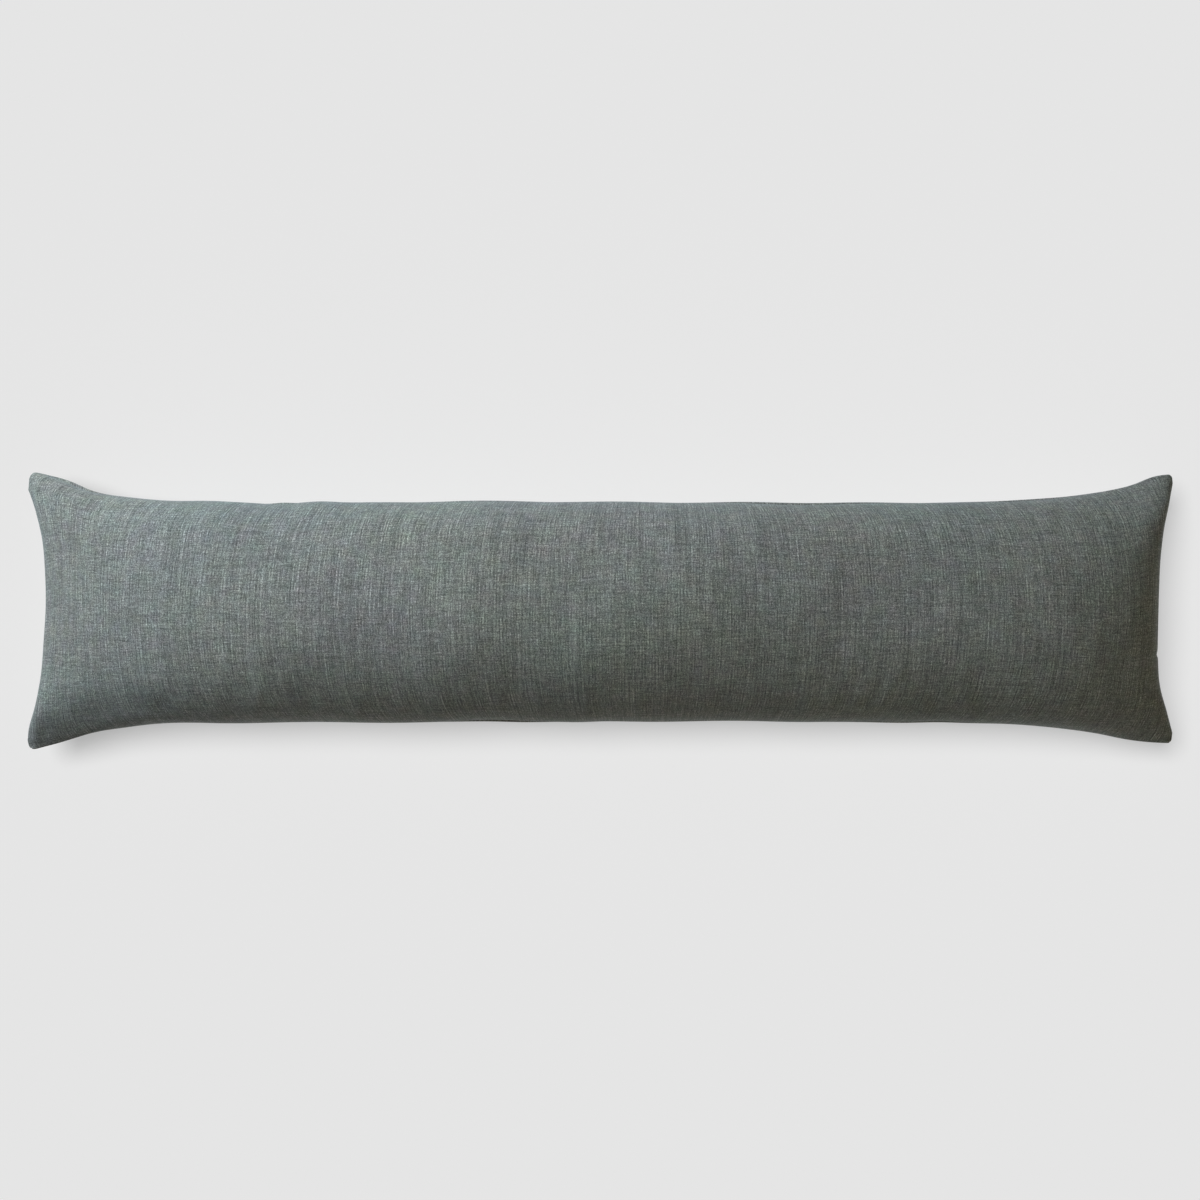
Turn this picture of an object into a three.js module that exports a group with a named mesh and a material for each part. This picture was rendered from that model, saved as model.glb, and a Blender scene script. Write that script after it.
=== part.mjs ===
// A long lumbar pillow. Two oblong panels of plain cloth are sewn together round all four sides, turned right
// side out and filled, so the whole is one soft body with a knife-edge seam round it. The filling draws the
// sides in and leaves a small flat ear at each corner. It lies on its back, flat underneath where it rests.
// Millimetres, +Z up. X runs along the pillow, +Y points to its far side, the origin is under its middle.
import * as THREE from "three";
import { mergeVertices } from "three/addons/utils/BufferGeometryUtils.js";

// The filled pillow. Its panels are sewn to 1219 by 305, and filling draws them in to these sizes.
const LENGTH = 1195; // between the tips of the corners at its two ends
const WAIST = 228; // from one long seam to the other, clear of the corners
const SEAM_HEIGHT = 66; // the long seams above the surface that it lies on
const CROWN = 79; // the top of the filling above the seams
const SAG = 89; // how far the filling would hang below the seams if nothing were under it
const BED_EASING = 12; // over this height the underside turns from the flat bed into the sides

// The corners. rise is how far a tip stands out past the waist and reach how far along the side that fades
// out, and bend sets how suddenly it does so. cheek is the straight length of short side next to the tip, and
// turn how squarely the short side draws in from there. droop is how low the tip hangs, and tip its radius.
// flat is the power of the profiles at the tip: at 0.5 it is filled right out, and above 1 it is thin.
const EARS = [
  { end: -1, side: 1, rise: 33, reach: 68, bend: 1.4, cheek: 20, turn: 3, droop: 9, tip: 10, flat: 0.55 },
  { end: -1, side: -1, rise: 31, reach: 66, bend: 1.3, cheek: 12, turn: 2.1, droop: 10, tip: 9, flat: 1.1 },
  { end: 1, side: 1, rise: 30, reach: 75, bend: 1.3, cheek: 10, turn: 2.3, droop: 6, tip: 6, flat: 0.95 },
  { end: 1, side: -1, rise: 24, reach: 103, bend: 1.6, cheek: 12, turn: 1.7, droop: 9, tip: 6, flat: 0.9 },
];

// The short sides. drawnIn is how far the deepest point lies behind the tips, and deepestY where it is. The
// filling reaches its full height a run from the short seam: it is loose at one end and packed at the other.
const SHORT_SIDES = [
  { end: -1, drawnIn: 23, deepestY: 6, run: 300 },
  { end: 1, drawnIn: 19.5, deepestY: -30, run: 80 },
];
const DRAW_FADE = 280; // the threads run straight again this far from a short side

// How the filling is bunched: each bump or hollow is round, centred at x and y, and fades out over spread.
const LUMPS = [
  { x: -425, y: 50, spread: 90, height: -3 },
  { x: -255, y: 45, spread: 75, height: -3.5 },
  { x: -125, y: -35, spread: 85, height: 2 },
  { x: 65, y: -10, spread: 95, height: 3 },
  { x: 85, y: 55, spread: 95, height: 2 },
  { x: 275, y: 15, spread: 115, height: -4 },
  { x: 475, y: 60, spread: 60, height: 1.5 },
];

// The slow waves that the filling leaves in the long seams. peakX is a place where one stands out furthest.
// They fade out towards the corners, over the last stretch of each seam.
const STEADY_RUN = 156;
const SEAM_WAVES = [
  { side: 1, length: 580, height: 0.8, peakX: -62 },
  { side: 1, length: 127, height: 0.4, peakX: 20 },
  { side: -1, length: 530, height: 0.8, peakX: -187 },
  { side: -1, length: 143, height: 0.4, peakX: 60 },
];

// The powers of the profiles that rise from the short and the long seams, clear of the corners.
const ROUND_ALONG = 0.5;
const ROUND_ACROSS = 0.45;
const EAR_ALONG = 80; // how far from a short seam a corner's own shape carries along the pillow
const EAR_ACROSS = 25; // and how far from a long seam it carries across

// The mesh is closest where the surface turns most, near the seams.
const CLOSE_RUN = 150;
const CLOSE_STEPS = 12;
const BODY_STEPS = 58;
const ACROSS_STEPS = 20;

const gauss = (distance, spread) => Math.exp(-((distance / spread) ** 2));
const fadeOut = (share) => (share >= 1 ? 0 : 0.5 + 0.5 * Math.cos(Math.PI * share));

// The distances from the left tips to the rows of points, which crowd towards the two ends.
function rowPlaces() {
  const close = (step) => CLOSE_RUN * (1 - Math.cos((step / CLOSE_STEPS) * (Math.PI / 2)));
  const places = [];
  for (let step = 0; step < CLOSE_STEPS; step++) places.push(close(step));
  const body = LENGTH - 2 * CLOSE_RUN;
  for (let step = 0; step <= BODY_STEPS; step++) places.push(CLOSE_RUN + (body * step) / BODY_STEPS);
  for (let step = CLOSE_STEPS - 1; step >= 0; step--) places.push(LENGTH - close(step));
  return places;
}

// How far a long seam lies from the middle line. side is 1 for the far seam and -1 for the near one.
function seamOut(side, x) {
  let out = WAIST / 2;
  for (const ear of EARS.filter((e) => e.side === side)) {
    const fromTips = LENGTH / 2 - ear.end * x;
    out += ear.rise * Math.exp(-((fromTips / ear.reach) ** ear.bend));
  }
  const steady = 1 - gauss(LENGTH / 2 - Math.abs(x), STEADY_RUN);
  for (const wave of SEAM_WAVES.filter((w) => w.side === side)) {
    out += steady * wave.height * Math.cos((2 * Math.PI * (x - wave.peakX)) / wave.length);
  }
  return out;
}

const earAt = (end, side) => EARS.find((ear) => ear.end === end && ear.side === side);

// How far the short side is drawn in at y across the pillow.
function drawIn(shortSide, y) {
  const side = y > shortSide.deepestY ? 1 : -1;
  const ear = earAt(shortSide.end, side);
  const start = WAIST / 2 + ear.rise - ear.cheek;
  const share = (y - shortSide.deepestY) / (side * start - shortSide.deepestY);
  return shortSide.drawnIn * (1 - Math.min(1, share) ** ear.turn);
}

// The seam's height where it lies nearest to x and y: level along the sides, hanging a little at each tip.
function seamLevel(x, y) {
  let level = SEAM_HEIGHT;
  for (const ear of EARS) {
    const along = LENGTH / 2 - ear.end * x;
    const across = WAIST / 2 + ear.rise - ear.side * y;
    level -= ear.droop * gauss(along, EAR_ALONG) * gauss(across, EAR_ACROSS);
  }
  return level;
}

// The filling's share of its full height, from the distances to the nearest short and long seam.
function fullness(fromEnd, fromSide, halfWidth, run, flat) {
  const powerAlong = ROUND_ALONG + (flat - ROUND_ALONG) * gauss(fromSide, EAR_ACROSS);
  const powerAcross = ROUND_ACROSS + (flat - ROUND_ACROSS) * gauss(fromEnd, EAR_ALONG);
  const endShare = 1 - Math.min(1, fromEnd / run);
  const sideShare = 1 - fromSide / halfWidth;
  const along = (1 - endShare ** 2) ** powerAlong;
  const across = (1 - sideShare ** 2) ** powerAcross;
  if (along * across === 0) return 0;
  return (along * across) / (along + across - along * across);
}

// The underside without a bed would lie at this height. The bed takes the part below zero.
function restOnBed(height) {
  if (height >= BED_EASING) return height;
  if (height <= -BED_EASING) return 0;
  return (height + BED_EASING) ** 2 / (4 * BED_EASING);
}

// A point of a panel. panel is 1 for the top and -1 for the underside, across runs from -1 to 1.
function panelPoint(panel, place, across) {
  const seamX = place - LENGTH / 2;
  const end = Math.sign(seamX) || 1;
  const side = Math.sign(across) || 1;
  const near = -seamOut(-1, seamX);
  const far = seamOut(1, seamX);
  const halfWidth = (far - near) / 2;
  const fromEnd = Math.min(place, LENGTH - place);
  const fromSide = (1 - Math.abs(across)) * halfWidth;

  // The tip is rounded by drawing the points near it in towards the middle of its round.
  const { tip, flat } = earAt(end, side);
  const inX = tip - fromEnd;
  const inY = tip - fromSide;
  let shiftX = 0;
  let shiftY = 0;
  if (inX > 0 && inY > 0) {
    const scale = Math.max(inX, inY) / Math.hypot(inX, inY);
    shiftX = inX * (1 - scale);
    shiftY = inY * (1 - scale);
  }

  const y = (near + far) / 2 + across * halfWidth - side * shiftY;
  let x = seamX - end * shiftX;
  for (const shortSide of SHORT_SIDES) {
    const away = LENGTH / 2 - shortSide.end * seamX;
    x -= shortSide.end * drawIn(shortSide, y) * fadeOut(away / DRAW_FADE);
  }

  const { run } = SHORT_SIDES.find((shortSide) => shortSide.end === end);
  const full = fullness(fromEnd, fromSide, halfWidth, run, flat);
  const level = seamLevel(seamX, y);
  if (panel < 0) return new THREE.Vector3(x, y, restOnBed(level - SAG * full));
  let bunched = CROWN;
  for (const lump of LUMPS) bunched += lump.height * gauss(Math.hypot(x - lump.x, y - lump.y), lump.spread);
  return new THREE.Vector3(x, y, level + bunched * full);
}

// The closed skin of the pillow: a grid of points for each panel, joined along the shared seam.
function pillowGeometry() {
  const places = rowPlaces();
  const last = places.length - 1;
  const acrossAt = (j) => Math.sin((j / ACROSS_STEPS - 0.5) * Math.PI);
  const positions = [];
  const addTriangle = (panel, a, b, c) => {
    for (const p of panel > 0 ? [a, b, c] : [a, c, b]) positions.push(p.x, p.y, p.z);
  };
  for (const panel of [1, -1]) {
    const grid = places.map((place) =>
      Array.from({ length: ACROSS_STEPS + 1 }, (_, j) => panelPoint(panel, place, acrossAt(j))),
    );
    for (let i = 0; i < last; i++) {
      for (let j = 0; j < ACROSS_STEPS; j++) {
        const [a, b] = [grid[i][j], grid[i + 1][j]];
        const [c, d] = [grid[i + 1][j + 1], grid[i][j + 1]];
        // Each square is split from its outer corner inwards, which keeps the two panels' tips apart.
        const outwards = i < last / 2 === j < ACROSS_STEPS / 2;
        if (outwards) {
          addTriangle(panel, a, b, c);
          addTriangle(panel, a, c, d);
        } else {
          addTriangle(panel, a, b, d);
          addTriangle(panel, b, c, d);
        }
      }
    }
  }
  const skin = new THREE.BufferGeometry();
  skin.setAttribute("position", new THREE.Float32BufferAttribute(positions, 3));
  skin.computeBoundingBox();
  const { min, max } = skin.boundingBox;
  skin.translate(-(min.x + max.x) / 2, -(min.y + max.y) / 2, -min.z);
  const closed = mergeVertices(skin, 1e-3);
  closed.computeVertexNormals();
  return closed;
}

// Slubby cotton and linen plain weave, piece-dyed a greyed green: matt, with no shine of its own.
const cloth = new THREE.MeshStandardMaterial({ color: 0x6b7673, roughness: 0.92, metalness: 0 });

const pillow = new THREE.Mesh(pillowGeometry(), cloth);
pillow.name = "pillow";

const lumbarPillow = new THREE.Group();
lumbarPillow.add(pillow);

export default lumbarPillow;
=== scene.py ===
import bpy
import numpy as np
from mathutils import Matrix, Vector


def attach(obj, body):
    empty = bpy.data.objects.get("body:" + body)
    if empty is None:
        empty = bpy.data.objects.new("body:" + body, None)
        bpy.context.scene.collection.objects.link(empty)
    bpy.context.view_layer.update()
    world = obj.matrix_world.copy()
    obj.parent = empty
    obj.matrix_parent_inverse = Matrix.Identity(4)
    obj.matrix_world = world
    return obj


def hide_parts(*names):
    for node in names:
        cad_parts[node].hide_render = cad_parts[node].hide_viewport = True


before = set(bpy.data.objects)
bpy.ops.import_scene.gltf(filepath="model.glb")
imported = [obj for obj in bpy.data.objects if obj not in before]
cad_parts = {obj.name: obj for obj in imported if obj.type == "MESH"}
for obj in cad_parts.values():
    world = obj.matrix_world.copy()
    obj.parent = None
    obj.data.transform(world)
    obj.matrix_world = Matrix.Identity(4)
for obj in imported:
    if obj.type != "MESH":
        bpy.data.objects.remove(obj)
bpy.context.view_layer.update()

# The camera looks straight down at the pillow's face. The picture is 1200 pixels square, and at the height
# of the pillow's seams each pixel covers 1.04 mm.
FRAME_PIXELS = 1200
SEAM_PIXEL = 0.00104
CAMERA_HEIGHT = 2.2
SEAM_HEIGHT = 0.066
PILLOW_LEFT_PX = 0.5  # the pillow's middle lies this far left of the picture's
PILLOW_BELOW_PX = 11.5  # and this far below it
SENSOR_MM = 36

lens_mm = SENSOR_MM * (CAMERA_HEIGHT - SEAM_HEIGHT) / (FRAME_PIXELS * SEAM_PIXEL)
camera_data = bpy.data.cameras.new("overhead_camera")
camera_data.sensor_width = SENSOR_MM
camera_data.lens = lens_mm
camera = bpy.data.objects.new("overhead_camera", camera_data)
camera.location = (PILLOW_LEFT_PX * SEAM_PIXEL, PILLOW_BELOW_PX * SEAM_PIXEL, CAMERA_HEIGHT)
bpy.context.scene.collection.objects.link(camera)
bpy.context.scene.camera = camera

# The pillow is two oblong panels of woven cloth, sewn together all round, turned and filled. The filling
# crowns both faces, draws the sides in between the corners and leaves a small flat ear at each one.
# Its own weight presses the underside flat where it rests.
FLAT_LENGTH = 1.219  # each panel between its seams
FLAT_WIDTH = 0.305
LENGTH = 1.195  # between the tips of the corners at the two ends
WAIST = 0.228  # from one long seam to the other, clear of the corners
CROWN = 0.079  # the top of the filling above the seams
SAG = 0.089  # how far the filling would hang below the seams with nothing under it
BED_EASING = 0.012  # over this height the underside turns from the flat bed into the sides

# rise is how far a corner stands out past the waist, reach how far along the side that fades out and bend
# how suddenly. cheek is the straight stretch of short side next to the tip, and turn how squarely the side
# draws in from there. droop is how low the tip hangs and tip its radius. flat is the power of the profiles
# at the tip: the higher, the thinner it is.
EARS = [
    dict(end=-1, side=1, rise=0.0330, reach=0.068, bend=1.4,
         cheek=0.020, turn=3.0, droop=0.009, tip=0.010, flat=0.55),
    dict(end=-1, side=-1, rise=0.0318, reach=0.066, bend=1.3,
         cheek=0.012, turn=2.1, droop=0.010, tip=0.009, flat=1.10),
    dict(end=1, side=1, rise=0.0300, reach=0.075, bend=1.3,
         cheek=0.010, turn=2.3, droop=0.006, tip=0.006, flat=0.95),
    dict(end=1, side=-1, rise=0.0240, reach=0.103, bend=1.6,
         cheek=0.012, turn=1.7, droop=0.009, tip=0.006, flat=0.90),
]

# drawn_in is how far the deepest point of a short side lies behind the tips, and deepest_y where it is. The
# filling reaches its full height a run from the short seam, and power is that of the profile between: it is
# loose at one end and packed at the other.
SHORT_SIDES = [
    dict(end=-1, drawn_in=0.0223, deepest_y=0.006, run=0.300, power=0.5),
    dict(end=1, drawn_in=0.0229, deepest_y=-0.030, run=0.140, power=0.3),
]
DRAW_FADE = 0.280  # the threads run straight again this far from a short side

# How the filling is bunched: each bump or hollow is round and fades out over its spread.
LUMPS = [
    dict(x=-0.137, y=-0.030, spread=0.034, height=0.0022),
    dict(x=-0.137, y=-0.040, spread=0.045, height=0.0010),
    dict(x=-0.020, y=0.043, spread=0.040, height=-0.0016),
    dict(x=0.084, y=0.053, spread=0.035, height=0.0018),
    dict(x=0.172, y=-0.024, spread=0.035, height=0.0016),
    dict(x=-0.425, y=0.050, spread=0.090, height=-0.0030),
    dict(x=-0.321, y=-0.049, spread=0.050, height=0.0025),
    dict(x=-0.005, y=-0.042, spread=0.032, height=0.0018),
    dict(x=-0.255, y=0.045, spread=0.075, height=-0.0035),
    dict(x=-0.125, y=-0.035, spread=0.085, height=0.0020),
    dict(x=0.065, y=-0.010, spread=0.095, height=0.0030),
    dict(x=0.085, y=0.055, spread=0.095, height=0.0020),
    dict(x=0.275, y=0.015, spread=0.115, height=-0.0040),
    dict(x=0.475, y=0.060, spread=0.060, height=0.0015),
]

# The slow waves that the filling leaves in the long seams. At peak_x one stands out furthest.
STEADY_RUN = 0.156  # they fade out over this stretch towards the corners
SEAM_WAVES = [
    dict(side=1, length=0.580, height=0.0008, peak_x=-0.062),
    dict(side=1, length=0.127, height=0.0004, peak_x=0.020),
    dict(side=-1, length=0.530, height=0.0008, peak_x=-0.187),
    dict(side=-1, length=0.143, height=0.0004, peak_x=0.060),
]

# Where the seams stand out, or lie further in, over a short stretch: the long ones by side and x, the short
# ones by end and y.
SEAM_BUMPS = [
    dict(side=1, x=-0.558, spread=0.026, out=0.0026),
    dict(side=1, x=-0.535, spread=0.024, out=-0.0019),
    dict(side=1, x=-0.410, spread=0.030, out=0.0018),
    dict(side=1, x=-0.345, spread=0.020, out=-0.0010),
    dict(side=1, x=-0.290, spread=0.022, out=0.0020),
    dict(side=1, x=-0.150, spread=0.040, out=0.0008),
    dict(side=1, x=0.215, spread=0.050, out=-0.0009),
    dict(side=1, x=0.410, spread=0.035, out=-0.0009),
    dict(side=1, x=0.577, spread=0.019, out=0.0034),
    dict(side=-1, x=-0.556, spread=0.028, out=0.0034),
    dict(side=-1, x=-0.500, spread=0.025, out=0.0010),
    dict(side=-1, x=-0.395, spread=0.040, out=0.0010),
    dict(side=-1, x=-0.111, spread=0.036, out=-0.0020),
    dict(side=-1, x=-0.022, spread=0.020, out=0.0011),
    dict(side=-1, x=0.350, spread=0.030, out=-0.0015),
    dict(side=-1, x=0.552, spread=0.032, out=0.0020),
]
END_BUMPS = [
    dict(end=-1, y=0.130, spread=0.022, out=-0.0018),
    dict(end=-1, y=0.045, spread=0.030, out=0.0011),
    dict(end=-1, y=-0.027, spread=0.035, out=0.0018),
    dict(end=-1, y=-0.124, spread=0.017, out=0.0025),
    dict(end=1, y=0.094, spread=0.022, out=-0.0017),
    dict(end=1, y=0.065, spread=0.035, out=-0.0021),
    dict(end=1, y=-0.043, spread=0.003, out=-0.0014),
    dict(end=1, y=-0.075, spread=0.026, out=-0.0030),
    dict(end=1, y=-0.095, spread=0.022, out=-0.0012),
]
ROUND_ACROSS = 0.45  # the power of the profile that rises from the long seams
EAR_ALONG = 0.080  # how far along and across the pillow a corner's own shape carries
EAR_ACROSS = 0.025

# Both panels are grids of points, which crowd towards the seams.
CLOSE_RUN = 0.150  # the rows crowd over this stretch towards each end
CLOSE_STEPS = 66
BODY_STEPS = 282  # over the length between these stretches
ACROSS_STEPS = 112
SEAM_STEPS = (0.12, 0.30, 0.60)  # extra rows and columns next to the seams, as shares of the first step


def gauss(distance, spread):
    """A bell curve, which is 1 in its middle."""
    return np.exp(-((distance / spread) ** 2))


def ear_value(name, end, side):
    """A column of the table of corners, picked for each point by its end and side."""
    return sum(np.where((end == ear["end"]) & (side == ear["side"]), ear[name], 0.0) for ear in EARS)


def seam_out(side, x):
    """How far a long seam lies from the middle line."""
    out = np.full_like(x, WAIST / 2)
    for ear in EARS:
        if ear["side"] == side:
            from_tips = LENGTH / 2 - ear["end"] * x
            out += ear["rise"] * np.exp(-((from_tips / ear["reach"]) ** ear["bend"]))
    steady = 1 - gauss(LENGTH / 2 - abs(x), STEADY_RUN)
    for wave in SEAM_WAVES:
        if wave["side"] == side:
            turn = 2 * np.pi * (x - wave["peak_x"]) / wave["length"]
            out += steady * wave["height"] * np.cos(turn)
    for bump in SEAM_BUMPS:
        if bump["side"] == side:
            out += bump["out"] * gauss(x - bump["x"], bump["spread"])
    return out


def draw_in(short_side, y):
    """How far a short side is drawn in at y across the pillow."""
    side = np.where(y > short_side["deepest_y"], 1, -1)
    end = np.full_like(side, short_side["end"])
    start = WAIST / 2 + ear_value("rise", end, side) - ear_value("cheek", end, side)
    share = (y - short_side["deepest_y"]) / (side * start - short_side["deepest_y"])
    drawn = short_side["drawn_in"] * (1 - np.minimum(1, share) ** ear_value("turn", end, side))
    for bump in END_BUMPS:
        if bump["end"] == short_side["end"]:
            drawn -= bump["out"] * gauss(y - bump["y"], bump["spread"])
    return drawn


def seam_level(x, y):
    """The seam's height where it lies nearest to x and y."""
    level = np.full_like(x, SEAM_HEIGHT)
    for ear in EARS:
        along = LENGTH / 2 - ear["end"] * x
        across = WAIST / 2 + ear["rise"] - ear["side"] * y
        level -= ear["droop"] * gauss(along, EAR_ALONG) * gauss(across, EAR_ACROSS)
    return level


def fullness(from_end, from_side, half_width, run, power, flat):
    """The filling's share of its full height, from the distances to the nearest short and long seam."""
    power_along = power + (flat - power) * gauss(from_side, EAR_ACROSS)
    power_across = ROUND_ACROSS + (flat - ROUND_ACROSS) * gauss(from_end, EAR_ALONG)
    end_share = 1 - np.minimum(1, from_end / run)
    side_share = 1 - from_side / half_width
    along = np.maximum(0, 1 - end_share**2) ** power_along
    across = np.maximum(0, 1 - side_share**2) ** power_across
    both = along * across
    return np.divide(both, along + across - both, out=np.zeros_like(both), where=both > 0)


def rest_on_bed(height):
    """The underside, which would lie at this height with nothing under it, pressed flat where it rests."""
    eased = (height + BED_EASING) ** 2 / (4 * BED_EASING)
    return np.select([height >= BED_EASING, height > -BED_EASING], [height, eased], 0.0)


def panel_points(panel, place, across):
    """A grid of points on the top panel, 1, or the underside, -1."""
    place, across = np.broadcast_arrays(place, across)
    seam_x = place - LENGTH / 2
    end = np.where(seam_x < 0, -1, 1)
    side = np.where(across < 0, -1, 1)
    near = -seam_out(-1, seam_x)
    far = seam_out(1, seam_x)
    half_width = (far - near) / 2
    from_end = np.minimum(place, LENGTH - place)
    from_side = (1 - abs(across)) * half_width

    # The tip is rounded by drawing the points near it in towards the middle of its round.
    tip = ear_value("tip", end, side)
    in_x = np.maximum(tip - from_end, 0)
    in_y = np.maximum(tip - from_side, 0)
    slant = np.hypot(in_x, in_y)
    scale = np.divide(np.maximum(in_x, in_y), slant, out=np.ones_like(slant), where=slant > 0)
    y = (near + far) / 2 + across * half_width - side * in_y * (1 - scale)
    x = seam_x - end * in_x * (1 - scale)
    for short_side in SHORT_SIDES:
        away = LENGTH / 2 - short_side["end"] * seam_x
        fade = 0.5 + 0.5 * np.cos(np.pi * np.minimum(1, away / DRAW_FADE))
        x = x - short_side["end"] * draw_in(short_side, y) * fade

    run = np.where(end < 0, SHORT_SIDES[0]["run"], SHORT_SIDES[1]["run"])
    power = np.where(end < 0, SHORT_SIDES[0]["power"], SHORT_SIDES[1]["power"])
    full = fullness(from_end, from_side, half_width, run, power, ear_value("flat", end, side))
    level = seam_level(seam_x, y)
    if panel < 0:
        return np.stack([x, y, rest_on_bed(level - SAG * full)], axis=-1)
    bunched = np.full_like(x, CROWN)
    for lump in LUMPS:
        bunched += lump["height"] * gauss(np.hypot(x - lump["x"], y - lump["y"]), lump["spread"])
    return np.stack([x, y, level + bunched * full], axis=-1)


# Filled cloth is never quite smooth. Shallow waves of many lengths run through both panels, most of them
# with their ridges across the pillow. At the long seams the stitches gather the cloth into short puckers.
WAVES = 72
WAVE_LENGTHS = (0.014, 0.160)
WAVE_SLOPE = 0.028  # how far the waves typically tilt the cloth, in radians
WAVE_LEAN = 0.7  # how far a wave's direction typically turns from along the pillow, in radians
WAVE_FADE = 0.008  # the waves grow from nothing at the seams over about this distance
WRINKLE_SEEDS = {1: 6, -1: 4}  # the top panel and the underside each have their own waves and puckers

# Where the cloth puckers most along the far seam, 1, and the near one, -1.
PUCKER_PLACES = {
    1: [-0.508, -0.436, -0.330, -0.274, -0.237, -0.162, -0.112, -0.087,
        -0.009, 0.063, 0.125, 0.238, 0.310, 0.355, 0.410, 0.465],
    -1: [-0.470, -0.430, -0.395, -0.355, -0.310, -0.249, -0.205, -0.162, -0.105, -0.060,
         -0.015, 0.040, 0.110, 0.175, 0.215, 0.270, 0.335, 0.380, 0.440, 0.490],
}
PUCKER_HEIGHT = 0.0006
PUCKER_WIDTH = 0.009
PUCKER_REACH = 0.011  # how far from the seam a pucker is highest
PUCKER_RANGES = dict(width=(0.7, 1.4), reach=(0.7, 1.6), height=(0.5, 1.3))  # shares, drawn for each pucker
PUCKER_LEAN = 0.5  # puckers lean towards the nearer end as they leave the seam, this much at the ends
DIP_DEPTH = 0.5  # beside each pucker the cloth dips by this share of its height
DIP_PLACE = 1.6  # and this many of its widths to the right of it


def waves(points, draw):
    """The height of the cloth's own waves over its smooth form."""
    x, y = points[..., 0], points[..., 1]
    height = np.zeros_like(x)
    for _ in range(WAVES):
        length = np.exp(draw.uniform(*np.log(WAVE_LENGTHS)))
        lean = draw.normal(0, WAVE_LEAN)
        turn = 2 * np.pi * (x * np.cos(lean) + y * np.sin(lean)) / length + draw.uniform(0, 2 * np.pi)
        height += WAVE_SLOPE * np.sqrt(2 / WAVES) * length / (2 * np.pi) * np.sin(turn)
    return height


def swell(distance, reach):
    """A soft rise from nothing at a seam, which is 1 at its highest, a reach from the seam."""
    return distance / reach * np.exp(1 - distance / reach)


def puckers(points, from_side, draw):
    """The height of the puckers along both long seams."""
    total = np.zeros_like(from_side)
    for side, places in PUCKER_PLACES.items():
        on_side = points[..., 1] * side > 0
        for middle_x in places:
            lean = PUCKER_LEAN * middle_x / (LENGTH / 2)
            width = PUCKER_WIDTH * draw.uniform(*PUCKER_RANGES["width"])
            reach = PUCKER_REACH * draw.uniform(*PUCKER_RANGES["reach"])
            height = PUCKER_HEIGHT * draw.uniform(*PUCKER_RANGES["height"])
            off = points[..., 0] - middle_x + lean * from_side
            ripple = gauss(off, width) - DIP_DEPTH * gauss(off - DIP_PLACE * width, width)
            total += np.where(on_side, height * ripple * swell(from_side, reach), 0)
    return total


# Single folds and creases of the top panel. Each is a soft ridge, or with a height below zero a valley,
# from one x and y to another.
FOLDS = [
    dict(start=(-0.540, 0.083), stop=(-0.360, 0.083), width=0.0200, height=0.0018),
    dict(start=(-0.250, 0.083), stop=(-0.020, 0.084), width=0.0210, height=0.0036),
    dict(start=(0.010, 0.078), stop=(0.320, 0.076), width=0.0210, height=0.0028),
    dict(start=(-0.590, 0.128), stop=(-0.584, 0.106), width=0.0035, height=-0.0022),
    dict(start=(-0.583, 0.124), stop=(-0.577, 0.085), width=0.0050, height=0.0018),
    dict(start=(-0.578, -0.082), stop=(-0.586, -0.131), width=0.0070, height=0.0022),
    dict(start=(-0.551, -0.097), stop=(-0.528, -0.115), width=0.0140, height=-0.0022),
    dict(start=(-0.499, -0.108), stop=(-0.447, -0.108), width=0.0060, height=0.0009),
    dict(start=(-0.393, 0.012), stop=(-0.381, -0.079), width=0.0060, height=-0.0005),
    dict(start=(-0.360, -0.004), stop=(-0.353, -0.079), width=0.0060, height=-0.0005),
    dict(start=(-0.340, 0.010), stop=(-0.338, -0.045), width=0.0070, height=0.0006),
    dict(start=(-0.248, 0.010), stop=(-0.248, -0.038), width=0.0070, height=0.0005),
    dict(start=(0.287, -0.092), stop=(0.302, -0.059), width=0.0060, height=0.0010),
    dict(start=(0.262, -0.092), stop=(0.272, -0.066), width=0.0060, height=0.0006),
    dict(start=(0.245, 0.050), stop=(0.243, -0.060), width=0.0060, height=-0.0005),
    dict(start=(0.420, 0.080), stop=(0.430, -0.020), width=0.0080, height=-0.0005),
]


def folds(points):
    """The height of the single folds."""
    height = np.zeros_like(points[..., 0])
    for fold in FOLDS:
        start, stop = np.array(fold["start"]), np.array(fold["stop"])
        from_start = points[..., :2] - start
        share = np.clip(from_start @ (stop - start) / np.sum((stop - start) ** 2), 0, 1)
        off = np.linalg.norm(from_start - share[..., None] * (stop - start), axis=-1)
        height += fold["height"] * gauss(off, fold["width"])
    return height


# The seam itself lies in a narrow groove, where the two panels turn in to the stitches. In places the
# filling rolls it up or down by a millimetre or so. A row is a stretch of a long seam, and how far the
# underside bulges out past it there and the top panel draws back.
GROOVE_DEPTH = 0.0014
GROOVE_WIDTH = 0.0015
ROLL_REACH = 0.004  # how far from the seam the panels bulge or draw back most
SEAM_ROLLS = [
    dict(side=1, x=0.205, spread=0.085, roll=0.0017),
    dict(side=1, x=0.440, spread=0.050, roll=0.0009),
    dict(side=1, x=-0.545, spread=0.022, roll=0.0016),
    dict(side=1, x=-0.330, spread=0.012, roll=0.0012),
    dict(side=1, x=-0.120, spread=0.060, roll=0.0007),
    dict(side=-1, x=-0.105, spread=0.045, roll=0.0015),
    dict(side=-1, x=0.060, spread=0.090, roll=0.0008),
    dict(side=-1, x=0.330, spread=0.080, roll=0.0010),
    dict(side=-1, x=-0.350, spread=0.060, roll=-0.0008),
]


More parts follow.
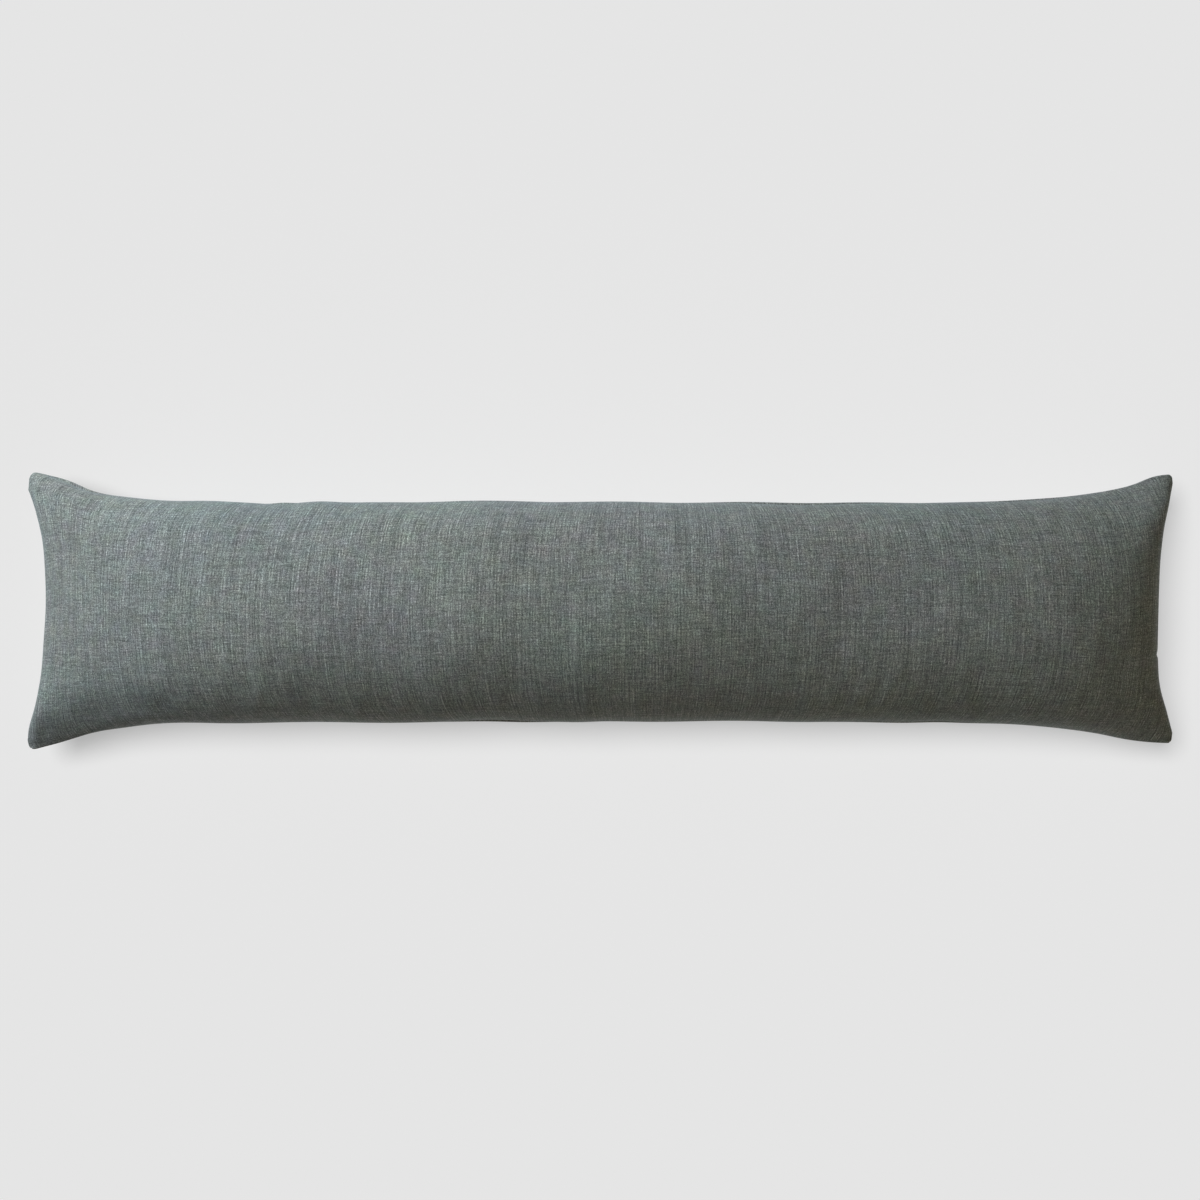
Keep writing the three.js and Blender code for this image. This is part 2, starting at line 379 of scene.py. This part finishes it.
def distance_over(points, axis):
    """How far each point of a grid lies from its first seam, over the panel."""
    steps = np.linalg.norm(np.diff(points, axis=axis), axis=2)
    start = np.zeros_like(np.take(steps, [0], axis=axis))
    return np.concatenate([start, np.cumsum(steps, axis=axis)], axis=axis)


def sew(raised, points, panel, across):
    """Draws the cloth next to the seams in to the stitches."""
    over_along, over_across = distance_over(points, 0), distance_over(points, 1)
    from_short = np.minimum(over_along, over_along[-1:] - over_along)
    from_long = np.minimum(over_across, over_across[:, -1:] - over_across)
    roll = np.zeros_like(from_long)
    for stretch in SEAM_ROLLS:
        on_side = np.sign(across) == stretch["side"]
        rolled = stretch["roll"] * gauss(points[..., 0] - stretch["x"], stretch["spread"])
        roll += np.where(on_side, rolled, 0)
    inwards = GROOVE_DEPTH * gauss(from_long, GROOVE_WIDTH) + panel * roll * swell(from_long, ROLL_REACH)
    raised[..., 1] -= np.sign(across) * inwards
    raised[..., 0] -= np.sign(points[..., 0]) * GROOVE_DEPTH * gauss(from_short, GROOVE_WIDTH)
    return raised


LEAST_NORMAL = 1e-12  # keeps a point without a direction from a division by zero


def normals_of(points):
    """The upward direction square to a grid, at each of its points."""
    along = np.gradient(points, axis=0)
    across = np.gradient(points, axis=1)
    facing = np.cross(along, across)
    return facing / np.maximum(np.linalg.norm(facing, axis=2, keepdims=True), LEAST_NORMAL)


def wrinkle(points, panel, place, across):
    """Raises the folds, waves and puckers from a panel's smooth form."""
    draw = np.random.default_rng(WRINKLE_SEEDS[panel])
    half_width = (points[:, -1:, 1] - points[:, :1, 1]) / 2
    from_side = (1 - abs(across)) * half_width
    from_end = np.minimum(place, LENGTH - place)
    grow_along = 1 - np.exp(-from_end / WAVE_FADE)
    grow = (1 - np.exp(-from_side / WAVE_FADE)) * grow_along
    if panel > 0:
        points = points + normals_of(points) * (folds(points) * grow)[..., None]
    height = waves(points, draw) * grow + puckers(points, from_side, draw) * grow_along
    raised = points + normals_of(points) * panel * height[..., None]
    # The cloth stays flat where it rests.
    raised[..., 2] = np.where(points[..., 2] <= 0, 0, np.maximum(raised[..., 2], 0))
    return raised


def row_places():
    """Distances from the left tips to the rows of points, which crowd towards the two ends."""
    steps = np.concatenate([[0], SEAM_STEPS, np.arange(1, CLOSE_STEPS + 1)])
    close = CLOSE_RUN * (1 - np.cos(np.pi / 2 * steps / CLOSE_STEPS))
    body = np.linspace(CLOSE_RUN, LENGTH - CLOSE_RUN, BODY_STEPS + 1)
    return np.concatenate([close, body[1:-1], (LENGTH - close)[::-1]])


def column_places():
    """Places across the pillow, from -1 at the near seam to 1 at the far one, which crowd towards both."""
    half = np.concatenate([[0], SEAM_STEPS, np.arange(1, ACROSS_STEPS / 2 + 1)])
    steps = np.concatenate([half, ACROSS_STEPS - half[-2::-1]])
    return -np.cos(np.pi * steps / ACROSS_STEPS)


# The threads that run across the pillow start along the short seams, and over the body they bow outwards,
# towards the two ends. Near the middle there is one place where they run straight.
STRAIGHT_X = 0.065
BOW = 0.024  # how far a thread's middle lies beyond its ends
BOW_GROWTH = 0.200  # how far from the straight thread the bow has nearly reached that
SEAM_EASE = 0.045  # over this distance from a short seam the threads take up the bow


def place_along_cloth(points, place, across):
    """How far along the cut cloth each point of a panel lies."""
    rows, columns = points.shape[:2]
    over = distance_over(points, 0)
    straight_row = np.argmin(abs(points[:, columns // 2, 0] - STRAIGHT_X))
    cut_left = FLAT_LENGTH / 2 + STRAIGHT_X
    cut_right = FLAT_LENGTH - cut_left
    to_right = over[-1:] - over
    ease_left = 1 - gauss(place, SEAM_EASE)
    ease_right = 1 - gauss(LENGTH - place, SEAM_EASE)
    from_left = over + (cut_left - over[straight_row]) * ease_left
    from_right = to_right + (cut_right - to_right[straight_row]) * ease_right
    on_left = np.arange(rows)[:, None] <= straight_row
    along = np.where(on_left, from_left, FLAT_LENGTH - from_right)
    bow = BOW * np.tanh((STRAIGHT_X - points[..., 0]) / BOW_GROWTH)
    # A thread bends softly over the face, and more sharply next to the long seams.
    bent = (across**2 + across**8) / 2 - 0.5
    return along - bow * bent * ease_left * ease_right


place = row_places()[:, None]
across = column_places()[None, :]
panels = {panel: panel_points(panel, place, across) for panel in (1, -1)}
middle = (panels[1].min((0, 1)) + panels[1].max((0, 1))) / 2
cloth_maps = {}
for panel, points in panels.items():
    points[..., :2] -= middle[:2]
    along = place_along_cloth(points, place, across)
    over = distance_over(points, 1)
    cloth_maps[panel] = np.stack([along, over / over[:, -1:] * FLAT_WIDTH], axis=-1)
    raised = wrinkle(points, panel, place, across)
    panels[panel] = sew(raised, points, panel, across)

# Both panels share the points of the seam.
rows, columns = place.size, across.size
numbers = {1: np.arange(rows * columns).reshape(rows, columns)}
inner = np.zeros((rows, columns), bool)
inner[1:-1, 1:-1] = True
numbers[-1] = np.where(inner, 0, numbers[1])
numbers[-1][inner] = rows * columns + np.arange(inner.sum())
skin_points = np.concatenate([panels[1].reshape(-1, 3), panels[-1][inner]])

# A face's four points lie in this order on the top panel, and the other way round on the underside.
BEFORE, AFTER = slice(0, -1), slice(1, None)
FACE_POINTS = [(BEFORE, BEFORE), (AFTER, BEFORE), (AFTER, AFTER), (BEFORE, AFTER)]
faces = []
face_uvs = []
for panel in (1, -1):
    loop = FACE_POINTS[::panel]
    faces.append(np.stack([numbers[panel][part].ravel() for part in loop], axis=-1))
    face_uvs.append(np.stack([cloth_maps[panel][part].reshape(-1, 2) for part in loop], axis=1))
faces = np.concatenate(faces)
face_uvs = np.concatenate(face_uvs)

pillow_mesh = bpy.data.meshes.new("pillow_cover")
pillow_mesh.from_pydata(skin_points.tolist(), [], faces.tolist())
pillow_mesh.polygons.foreach_set("use_smooth", np.ones(len(faces), bool))
cloth_uv = pillow_mesh.uv_layers.new(name="cloth")
cloth_uv.uv.foreach_set("vector", face_uvs.ravel())

# A second map is for a baked picture of the cloth. Each panel is cut in two across its middle there, and
# the four halves lie one above the other, a little apart, so that together they fill the square.
PICTURE_GAP = 0.006  # the cloth left free round each half
underneath = np.repeat([0, 1], len(faces) // 2)[:, None]
right_half = face_uvs[..., 0].mean(axis=1, keepdims=True) > FLAT_LENGTH / 2
picture_x = face_uvs[..., 0] - right_half * FLAT_LENGTH / 2 + PICTURE_GAP
picture_y = (face_uvs[..., 1] + PICTURE_GAP) / (FLAT_WIDTH + 2 * PICTURE_GAP)
picture = [picture_x / (FLAT_LENGTH / 2 + 2 * PICTURE_GAP), (2 * underneath + right_half + picture_y) / 4]
picture_uv = pillow_mesh.uv_layers.new(name="OFBake")
picture_uv.uv.foreach_set("vector", np.stack(picture, axis=-1).ravel())

# The dye has not taken quite evenly, and some light and shade is painted in with it. A row is a soft oval
# patch, and the share by which the colour's red, green and blue stray in its middle. The first four are of
# another hue in the dye. The next two are thin strips along the long seams, partly uneven dye and partly a
# painted tint of the light, cooler on the lit far edge and warmer on the shaded near edge. The last three
# are painted light and
# shade: a painted shade along the right half of the near seam, and painted light on the shaded near slope
# left of the middle and along the lit far shoulder.
DYE_AND_SHADING_PATCHES = [
    dict(x=-0.200, y=0.020, size=(0.130, 0.060), stray=(0.05, 0.0, 0.02)),
    dict(x=0.120, y=-0.035, size=(0.160, 0.070), stray=(-0.04, 0.0, -0.09)),
    dict(x=0.420, y=0.000, size=(0.120, 0.060), stray=(0.0, 0.0, 0.04)),
    dict(x=-0.480, y=-0.085, size=(0.170, 0.035), stray=(-0.06, 0.0, -0.02)),
    dict(x=-0.300, y=0.105, size=(0.350, 0.020), stray=(-0.05, 0.0, 0.0)),
    dict(x=-0.060, y=-0.108, size=(0.260, 0.026), stray=(0.0, 0.0, -0.04)),
    dict(x=0.380, y=-0.113, size=(0.200, 0.022), stray=(-0.13, -0.13, -0.13)),
    dict(x=-0.350, y=-0.080, size=(0.100, 0.045), stray=(0.05, 0.05, 0.05)),
    dict(x=-0.050, y=0.112, size=(0.420, 0.016), stray=(0.05, 0.05, 0.06)),
]
# Each point's shares from the patches: uneven dye, a painted tint of the light along the long edges, and
# painted light and shade.
dye_and_shading_shares = np.ones((len(skin_points), 4))
for patch in DYE_AND_SHADING_PATCHES:
    off_x = (skin_points[:, 0] - patch["x"]) / patch["size"][0]
    off_y = (skin_points[:, 1] - patch["y"]) / patch["size"][1]
    dye_and_shading_shares[:, :3] += gauss(np.hypot(off_x, off_y), 1)[:, None] * patch["stray"]
dye_and_shading_strays = pillow_mesh.attributes.new("dye_and_shading_strays", "FLOAT_COLOR", "POINT")
dye_and_shading_strays.data.foreach_set("color", dye_and_shading_shares.ravel())
pillow_mesh.update()
pillow = bpy.data.objects.new("pillow_cover", pillow_mesh)
bpy.context.scene.collection.objects.link(pillow)


def linear(hex_colour):
    """An sRGB hex colour as the linear colour that a shader takes."""
    shares = [int(hex_colour[i : i + 2], 16) / 255 for i in (1, 3, 5)]
    straight = [s / 12.92 if s <= 0.04045 else ((s + 0.055) / 1.055) ** 2.4 for s in shares]
    return (*straight, 1.0)


def new_material(name, sockets):
    """Adds a material, and gives its shader's own sockets their values."""
    material = bpy.data.materials.new(name)
    material.use_nodes = True
    for socket, value in sockets.items():
        material.node_tree.nodes["Principled BSDF"].inputs[socket].default_value = value
    return material


def add(tree, kind, inputs=None, **settings):
    """Adds a node. inputs are its sockets, each a value or the output of another node."""
    node = tree.nodes.new("ShaderNode" + kind)
    for name, value in settings.items():
        setattr(node, name, value)
    for name, value in (inputs or {}).items():
        if isinstance(value, bpy.types.NodeSocket):
            tree.links.new(value, node.inputs[name])
        else:
            node.inputs[name].default_value = value
    return node


# Cotton and linen in a plain weave, dyed in the piece. The threads are uneven, with thick and thin
# stretches, and the two fibres take the dye a little differently: matt cloth of fine streaks and specks, the
# streaks heavier across the pillow. Loose fibre ends catch a little cool light.
cloth = new_material("slubby_plain_weave", {
    "Roughness": 0.92,
    "Sheen Weight": 0.13,
    "Sheen Roughness": 0.5,
    "Sheen Tint": linear("#daf7ff"),
})

MM_IN_METRE = 1000
THREAD_MM = 0.7  # the real threads' spacing
STREAK_MM = 1.4  # the streaks are drawn twice as coarse as that, so that they show
SPECK_DEPTH = 0.34  # how far the tone of one crossing of two threads strays, as a power of e

# The tone strays from streak to streak. A row is one layer of that: which way its streaks run, over what
# length and width the layer changes, and how far it strays. "each" has every streak stray by itself,
# "pairs" sets every second one against its neighbours, and "many" takes those side by side together.
STREAKS = [
    dict(apart="pairs", runs="across", length_mm=7.0, width_mm=4.0, depth=0.13),
    dict(apart="pairs", runs="across", length_mm=45.0, width_mm=5.0, depth=0.13),
    dict(apart="pairs", runs="along", length_mm=8.0, width_mm=4.0, depth=0.10),
    dict(apart="each", runs="across", length_mm=9.0, width_mm=None, depth=0.06),
    dict(apart="each", runs="across", length_mm=55.0, width_mm=None, depth=0.09),
    dict(apart="each", runs="along", length_mm=9.0, width_mm=None, depth=0.06),
    dict(apart="each", runs="along", length_mm=45.0, width_mm=None, depth=0.05),
    dict(apart="many", runs="across", length_mm=70.0, width_mm=6.0, depth=0.015),
    dict(apart="many", runs="across", length_mm=160.0, width_mm=16.0, depth=0.012),
    dict(apart="many", runs="along", length_mm=60.0, width_mm=8.0, depth=0.012),
]
# The dye is a greyed green that turns a little to teal, purple or olive from place to place.
DYE = "#6b6c67"
MOTTLES = [
    dict(size_mm=14.0, depth=0.16, shift=(3.1, 0.7, 0)),
    dict(size_mm=170.0, depth=0.14, shift=(1.9, 5.3, 0)),
]
NOISE_MIDDLE = 0.5
NOISE_SPREAD = 0.12  # about how far the smooth noise strays from its middle
SPECK_SPREAD = 0.29  # the same for a value that is random between 0 and 1
LAYER_SHIFT = 7.31  # each layer starts this much further into the noise, so that no two agree

# Threads wander a little on their way, by less than half of WANDER_BY over a length of about WANDER_MM.
WANDER_MM = 90
WANDER_BY = 0.003
tree = cloth.node_tree
place_on_cloth = add(tree, "UVMap", uv_map="cloth").outputs["UV"]
wander = add(tree, "TexNoise", {"Vector": place_on_cloth, "Scale": MM_IN_METRE / WANDER_MM, "Detail": 1.0})
off_middle = add(tree, "VectorMath", {0: wander.outputs["Color"], 1: (NOISE_MIDDLE,) * 3},
                 operation="SUBTRACT")
stray = add(tree, "VectorMath", {0: off_middle.outputs[0], "Scale": WANDER_BY}, operation="SCALE")
wandering = add(tree, "VectorMath", {0: place_on_cloth, 1: stray.outputs[0]}, operation="ADD").outputs[0]

# Which crossing of threads and which streaks a point lies in. The ridges rise on every second streak and
# sink on those between.
in_threads = add(tree, "VectorMath", {0: wandering, "Scale": MM_IN_METRE / THREAD_MM}, operation="SCALE")
crossing = add(tree, "VectorMath", {0: in_threads.outputs[0]}, operation="FLOOR").outputs[0]
in_streaks = add(tree, "VectorMath", {0: wandering, "Scale": MM_IN_METRE / STREAK_MM}, operation="SCALE")
streak_number = add(tree, "VectorMath", {0: in_streaks.outputs[0]}, operation="FLOOR").outputs[0]
half_turns = add(tree, "VectorMath", {0: in_streaks.outputs[0], "Scale": np.pi}, operation="SCALE")
ridges = add(tree, "VectorMath", {0: half_turns.outputs[0]}, operation="COSINE")
ridge_across, ridge_along, _ = add(tree, "SeparateXYZ", {0: ridges.outputs[0]}).outputs


def layer(value, middle, depth, total):
    """Adds a random value's distance from its middle, times a depth, to the total of earlier layers."""
    off = add(tree, "Math", {0: value, 1: depth, 2: -depth * middle}, operation="MULTIPLY_ADD").outputs[0]
    return off if total is None else add(tree, "Math", {0: total, 1: off}, operation="ADD").outputs[0]


speck = add(tree, "TexWhiteNoise", {"Vector": crossing}, noise_dimensions="2D").outputs["Value"]
tone = layer(speck, NOISE_MIDDLE, SPECK_DEPTH / SPECK_SPREAD, None)
for number, row in enumerate(STREAKS):
    over_length = MM_IN_METRE / row["length_mm"]
    over_width = MM_IN_METRE / row["width_mm"] if row["width_mm"] else 0
    to_next = 0 if row["width_mm"] else LAYER_SHIFT
    if row["runs"] == "across":
        size, jump, ridge = (over_width, over_length, 0), (to_next, 0, 0), ridge_across
    else:
        size, jump, ridge = (over_length, over_width, 0), (0, to_next, 0), ridge_along
    shift = (LAYER_SHIFT * number,) * 3
    smooth = add(tree, "VectorMath", {0: wandering, 1: size, 2: shift}, operation="MULTIPLY_ADD").outputs[0]
    spot = add(tree, "VectorMath", {0: streak_number, 1: jump, 2: smooth}, operation="MULTIPLY_ADD")
    noise = add(tree, "TexNoise", {"Vector": spot.outputs[0], "Scale": 1.0, "Detail": 0.0}).outputs["Fac"]
    if row["apart"] == "pairs":
        off = layer(noise, NOISE_MIDDLE, row["depth"] / NOISE_SPREAD, None)
        tone = add(tree, "Math", {0: off, 1: ridge, 2: tone}, operation="MULTIPLY_ADD").outputs[0]
    else:
        tone = layer(noise, NOISE_MIDDLE, row["depth"] / NOISE_SPREAD, tone)

brightness = add(tree, "Math", {0: tone}, operation="EXPONENT").outputs[0]
cloth_colour = add(tree, "VectorMath", {0: linear(DYE)[:3], "Scale": brightness}, operation="SCALE").outputs[0]
# The patches multiply in uneven dye, a painted tint of the light along the long edges, and painted light and
# shade.
patches = add(tree, "Attribute", attribute_name="dye_and_shading_strays").outputs["Color"]
cloth_colour = add(tree, "VectorMath", {0: cloth_colour, 1: patches}, operation="MULTIPLY").outputs[0]
for mottle in MOTTLES:
    spot = add(tree, "VectorMath", {0: wandering, 1: mottle["shift"]}, operation="ADD").outputs[0]
    over_size = MM_IN_METRE / mottle["size_mm"]
    hue = add(tree, "TexNoise", {"Vector": spot, "Scale": over_size, "Detail": 1.0}).outputs["Color"]
    least = (1 - mottle["depth"] * NOISE_MIDDLE,) * 3
    tint = add(tree, "VectorMath", {0: hue, 1: (mottle["depth"],) * 3, 2: least}, operation="MULTIPLY_ADD")
    cloth_colour = add(tree, "VectorMath", {0: cloth_colour, 1: tint.outputs[0]}, operation="MULTIPLY").outputs[0]

# Lighter threads also stand out a little further.
WEAVE_DEPTH = 0.00005
weave = add(tree, "Bump", {"Height": tone, "Strength": 1.0, "Distance": WEAVE_DEPTH})
shader = tree.nodes["Principled BSDF"]
tree.links.new(cloth_colour, shader.inputs["Base Color"])
tree.links.new(weave.outputs[0], shader.inputs["Normal"])
pillow_mesh.materials.append(cloth)

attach(pillow, "root")
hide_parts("pillow")

# The floor is a wide sheet of plain pale studio paper. It lies a hair below the pillow's flat bed, so that
# the two never show through one another, and glows a little, so that it shows one even tone.
FLOOR_HALF = 12.0  # from the paper's middle to its edges
FLOOR_DROP = 0.0002
floor_mesh = bpy.data.meshes.new("floor")
floor_mesh.from_pydata([(-FLOOR_HALF, -FLOOR_HALF, 0), (FLOOR_HALF, -FLOOR_HALF, 0),
                        (FLOOR_HALF, FLOOR_HALF, 0), (-FLOOR_HALF, FLOOR_HALF, 0)], [], [(0, 1, 2, 3)])
floor = bpy.data.objects.new("floor", floor_mesh)
floor.location.z = -FLOOR_DROP
bpy.context.scene.collection.objects.link(floor)
floor_mesh.materials.append(new_material("pale_studio_paper", {
    "Base Color": linear("#bcbcbc"),
    "Roughness": 1.0,
    "Specular IOR Level": 0.0,
    "Emission Color": linear("#ffffff"),
    "Emission Strength": 0.428,
}))

# The light is a soft window to the upper left, a little cool, and a large warm reflector across from it.
# The paper has a soft high lamp of its own, for an even tone and a short shadow below and to the right of
# the pillow. Behind the paper's far edge the room shows as pale as the paper, and lights nothing.
world = bpy.data.worlds.new("studio")
bpy.context.scene.world = world
world.use_nodes = True
world.node_tree.nodes["Background"].inputs["Color"].default_value = linear("#e5e5e5")
world.cycles_visibility.diffuse = False
world.cycles_visibility.glossy = False

LAMP_TARGET = (0, 0, 0.08)  # about the pillow's middle


def lamp(name, kind, lit, location, colour, **settings):
    """Adds a lamp that looks at the pillow, and lights one object alone."""
    data = bpy.data.lights.new(name, kind)
    data.color = linear(colour)[:3]
    for setting, value in settings.items():
        setattr(data, setting, value)
    made = bpy.data.objects.new(name, data)
    made.location = location
    made.rotation_euler = (Vector(LAMP_TARGET) - Vector(location)).to_track_quat("-Z", "Y").to_euler()
    bpy.context.scene.collection.objects.link(made)
    lit_group = bpy.data.collections.new(name + "_lights")
    lit_group.objects.link(lit)
    made.light_linking.receiver_collection = lit_group


lamp("key_window", "AREA", pillow, location=(-1.115, 0.935, 1.14), colour="#e9f5ff", energy=49.5, size=1.2)
lamp("warm_reflector", "AREA", pillow, location=(1.51, -0.55, 2.0), colour="#fff0c1", energy=8.8, size=1.0)
lamp("paper_lamp", "SUN", floor, location=(-0.34, 0.20, 1.08), colour="#ffffff", energy=2.386, angle=0.5)

bpy.context.scene.view_settings.view_transform = "Standard"
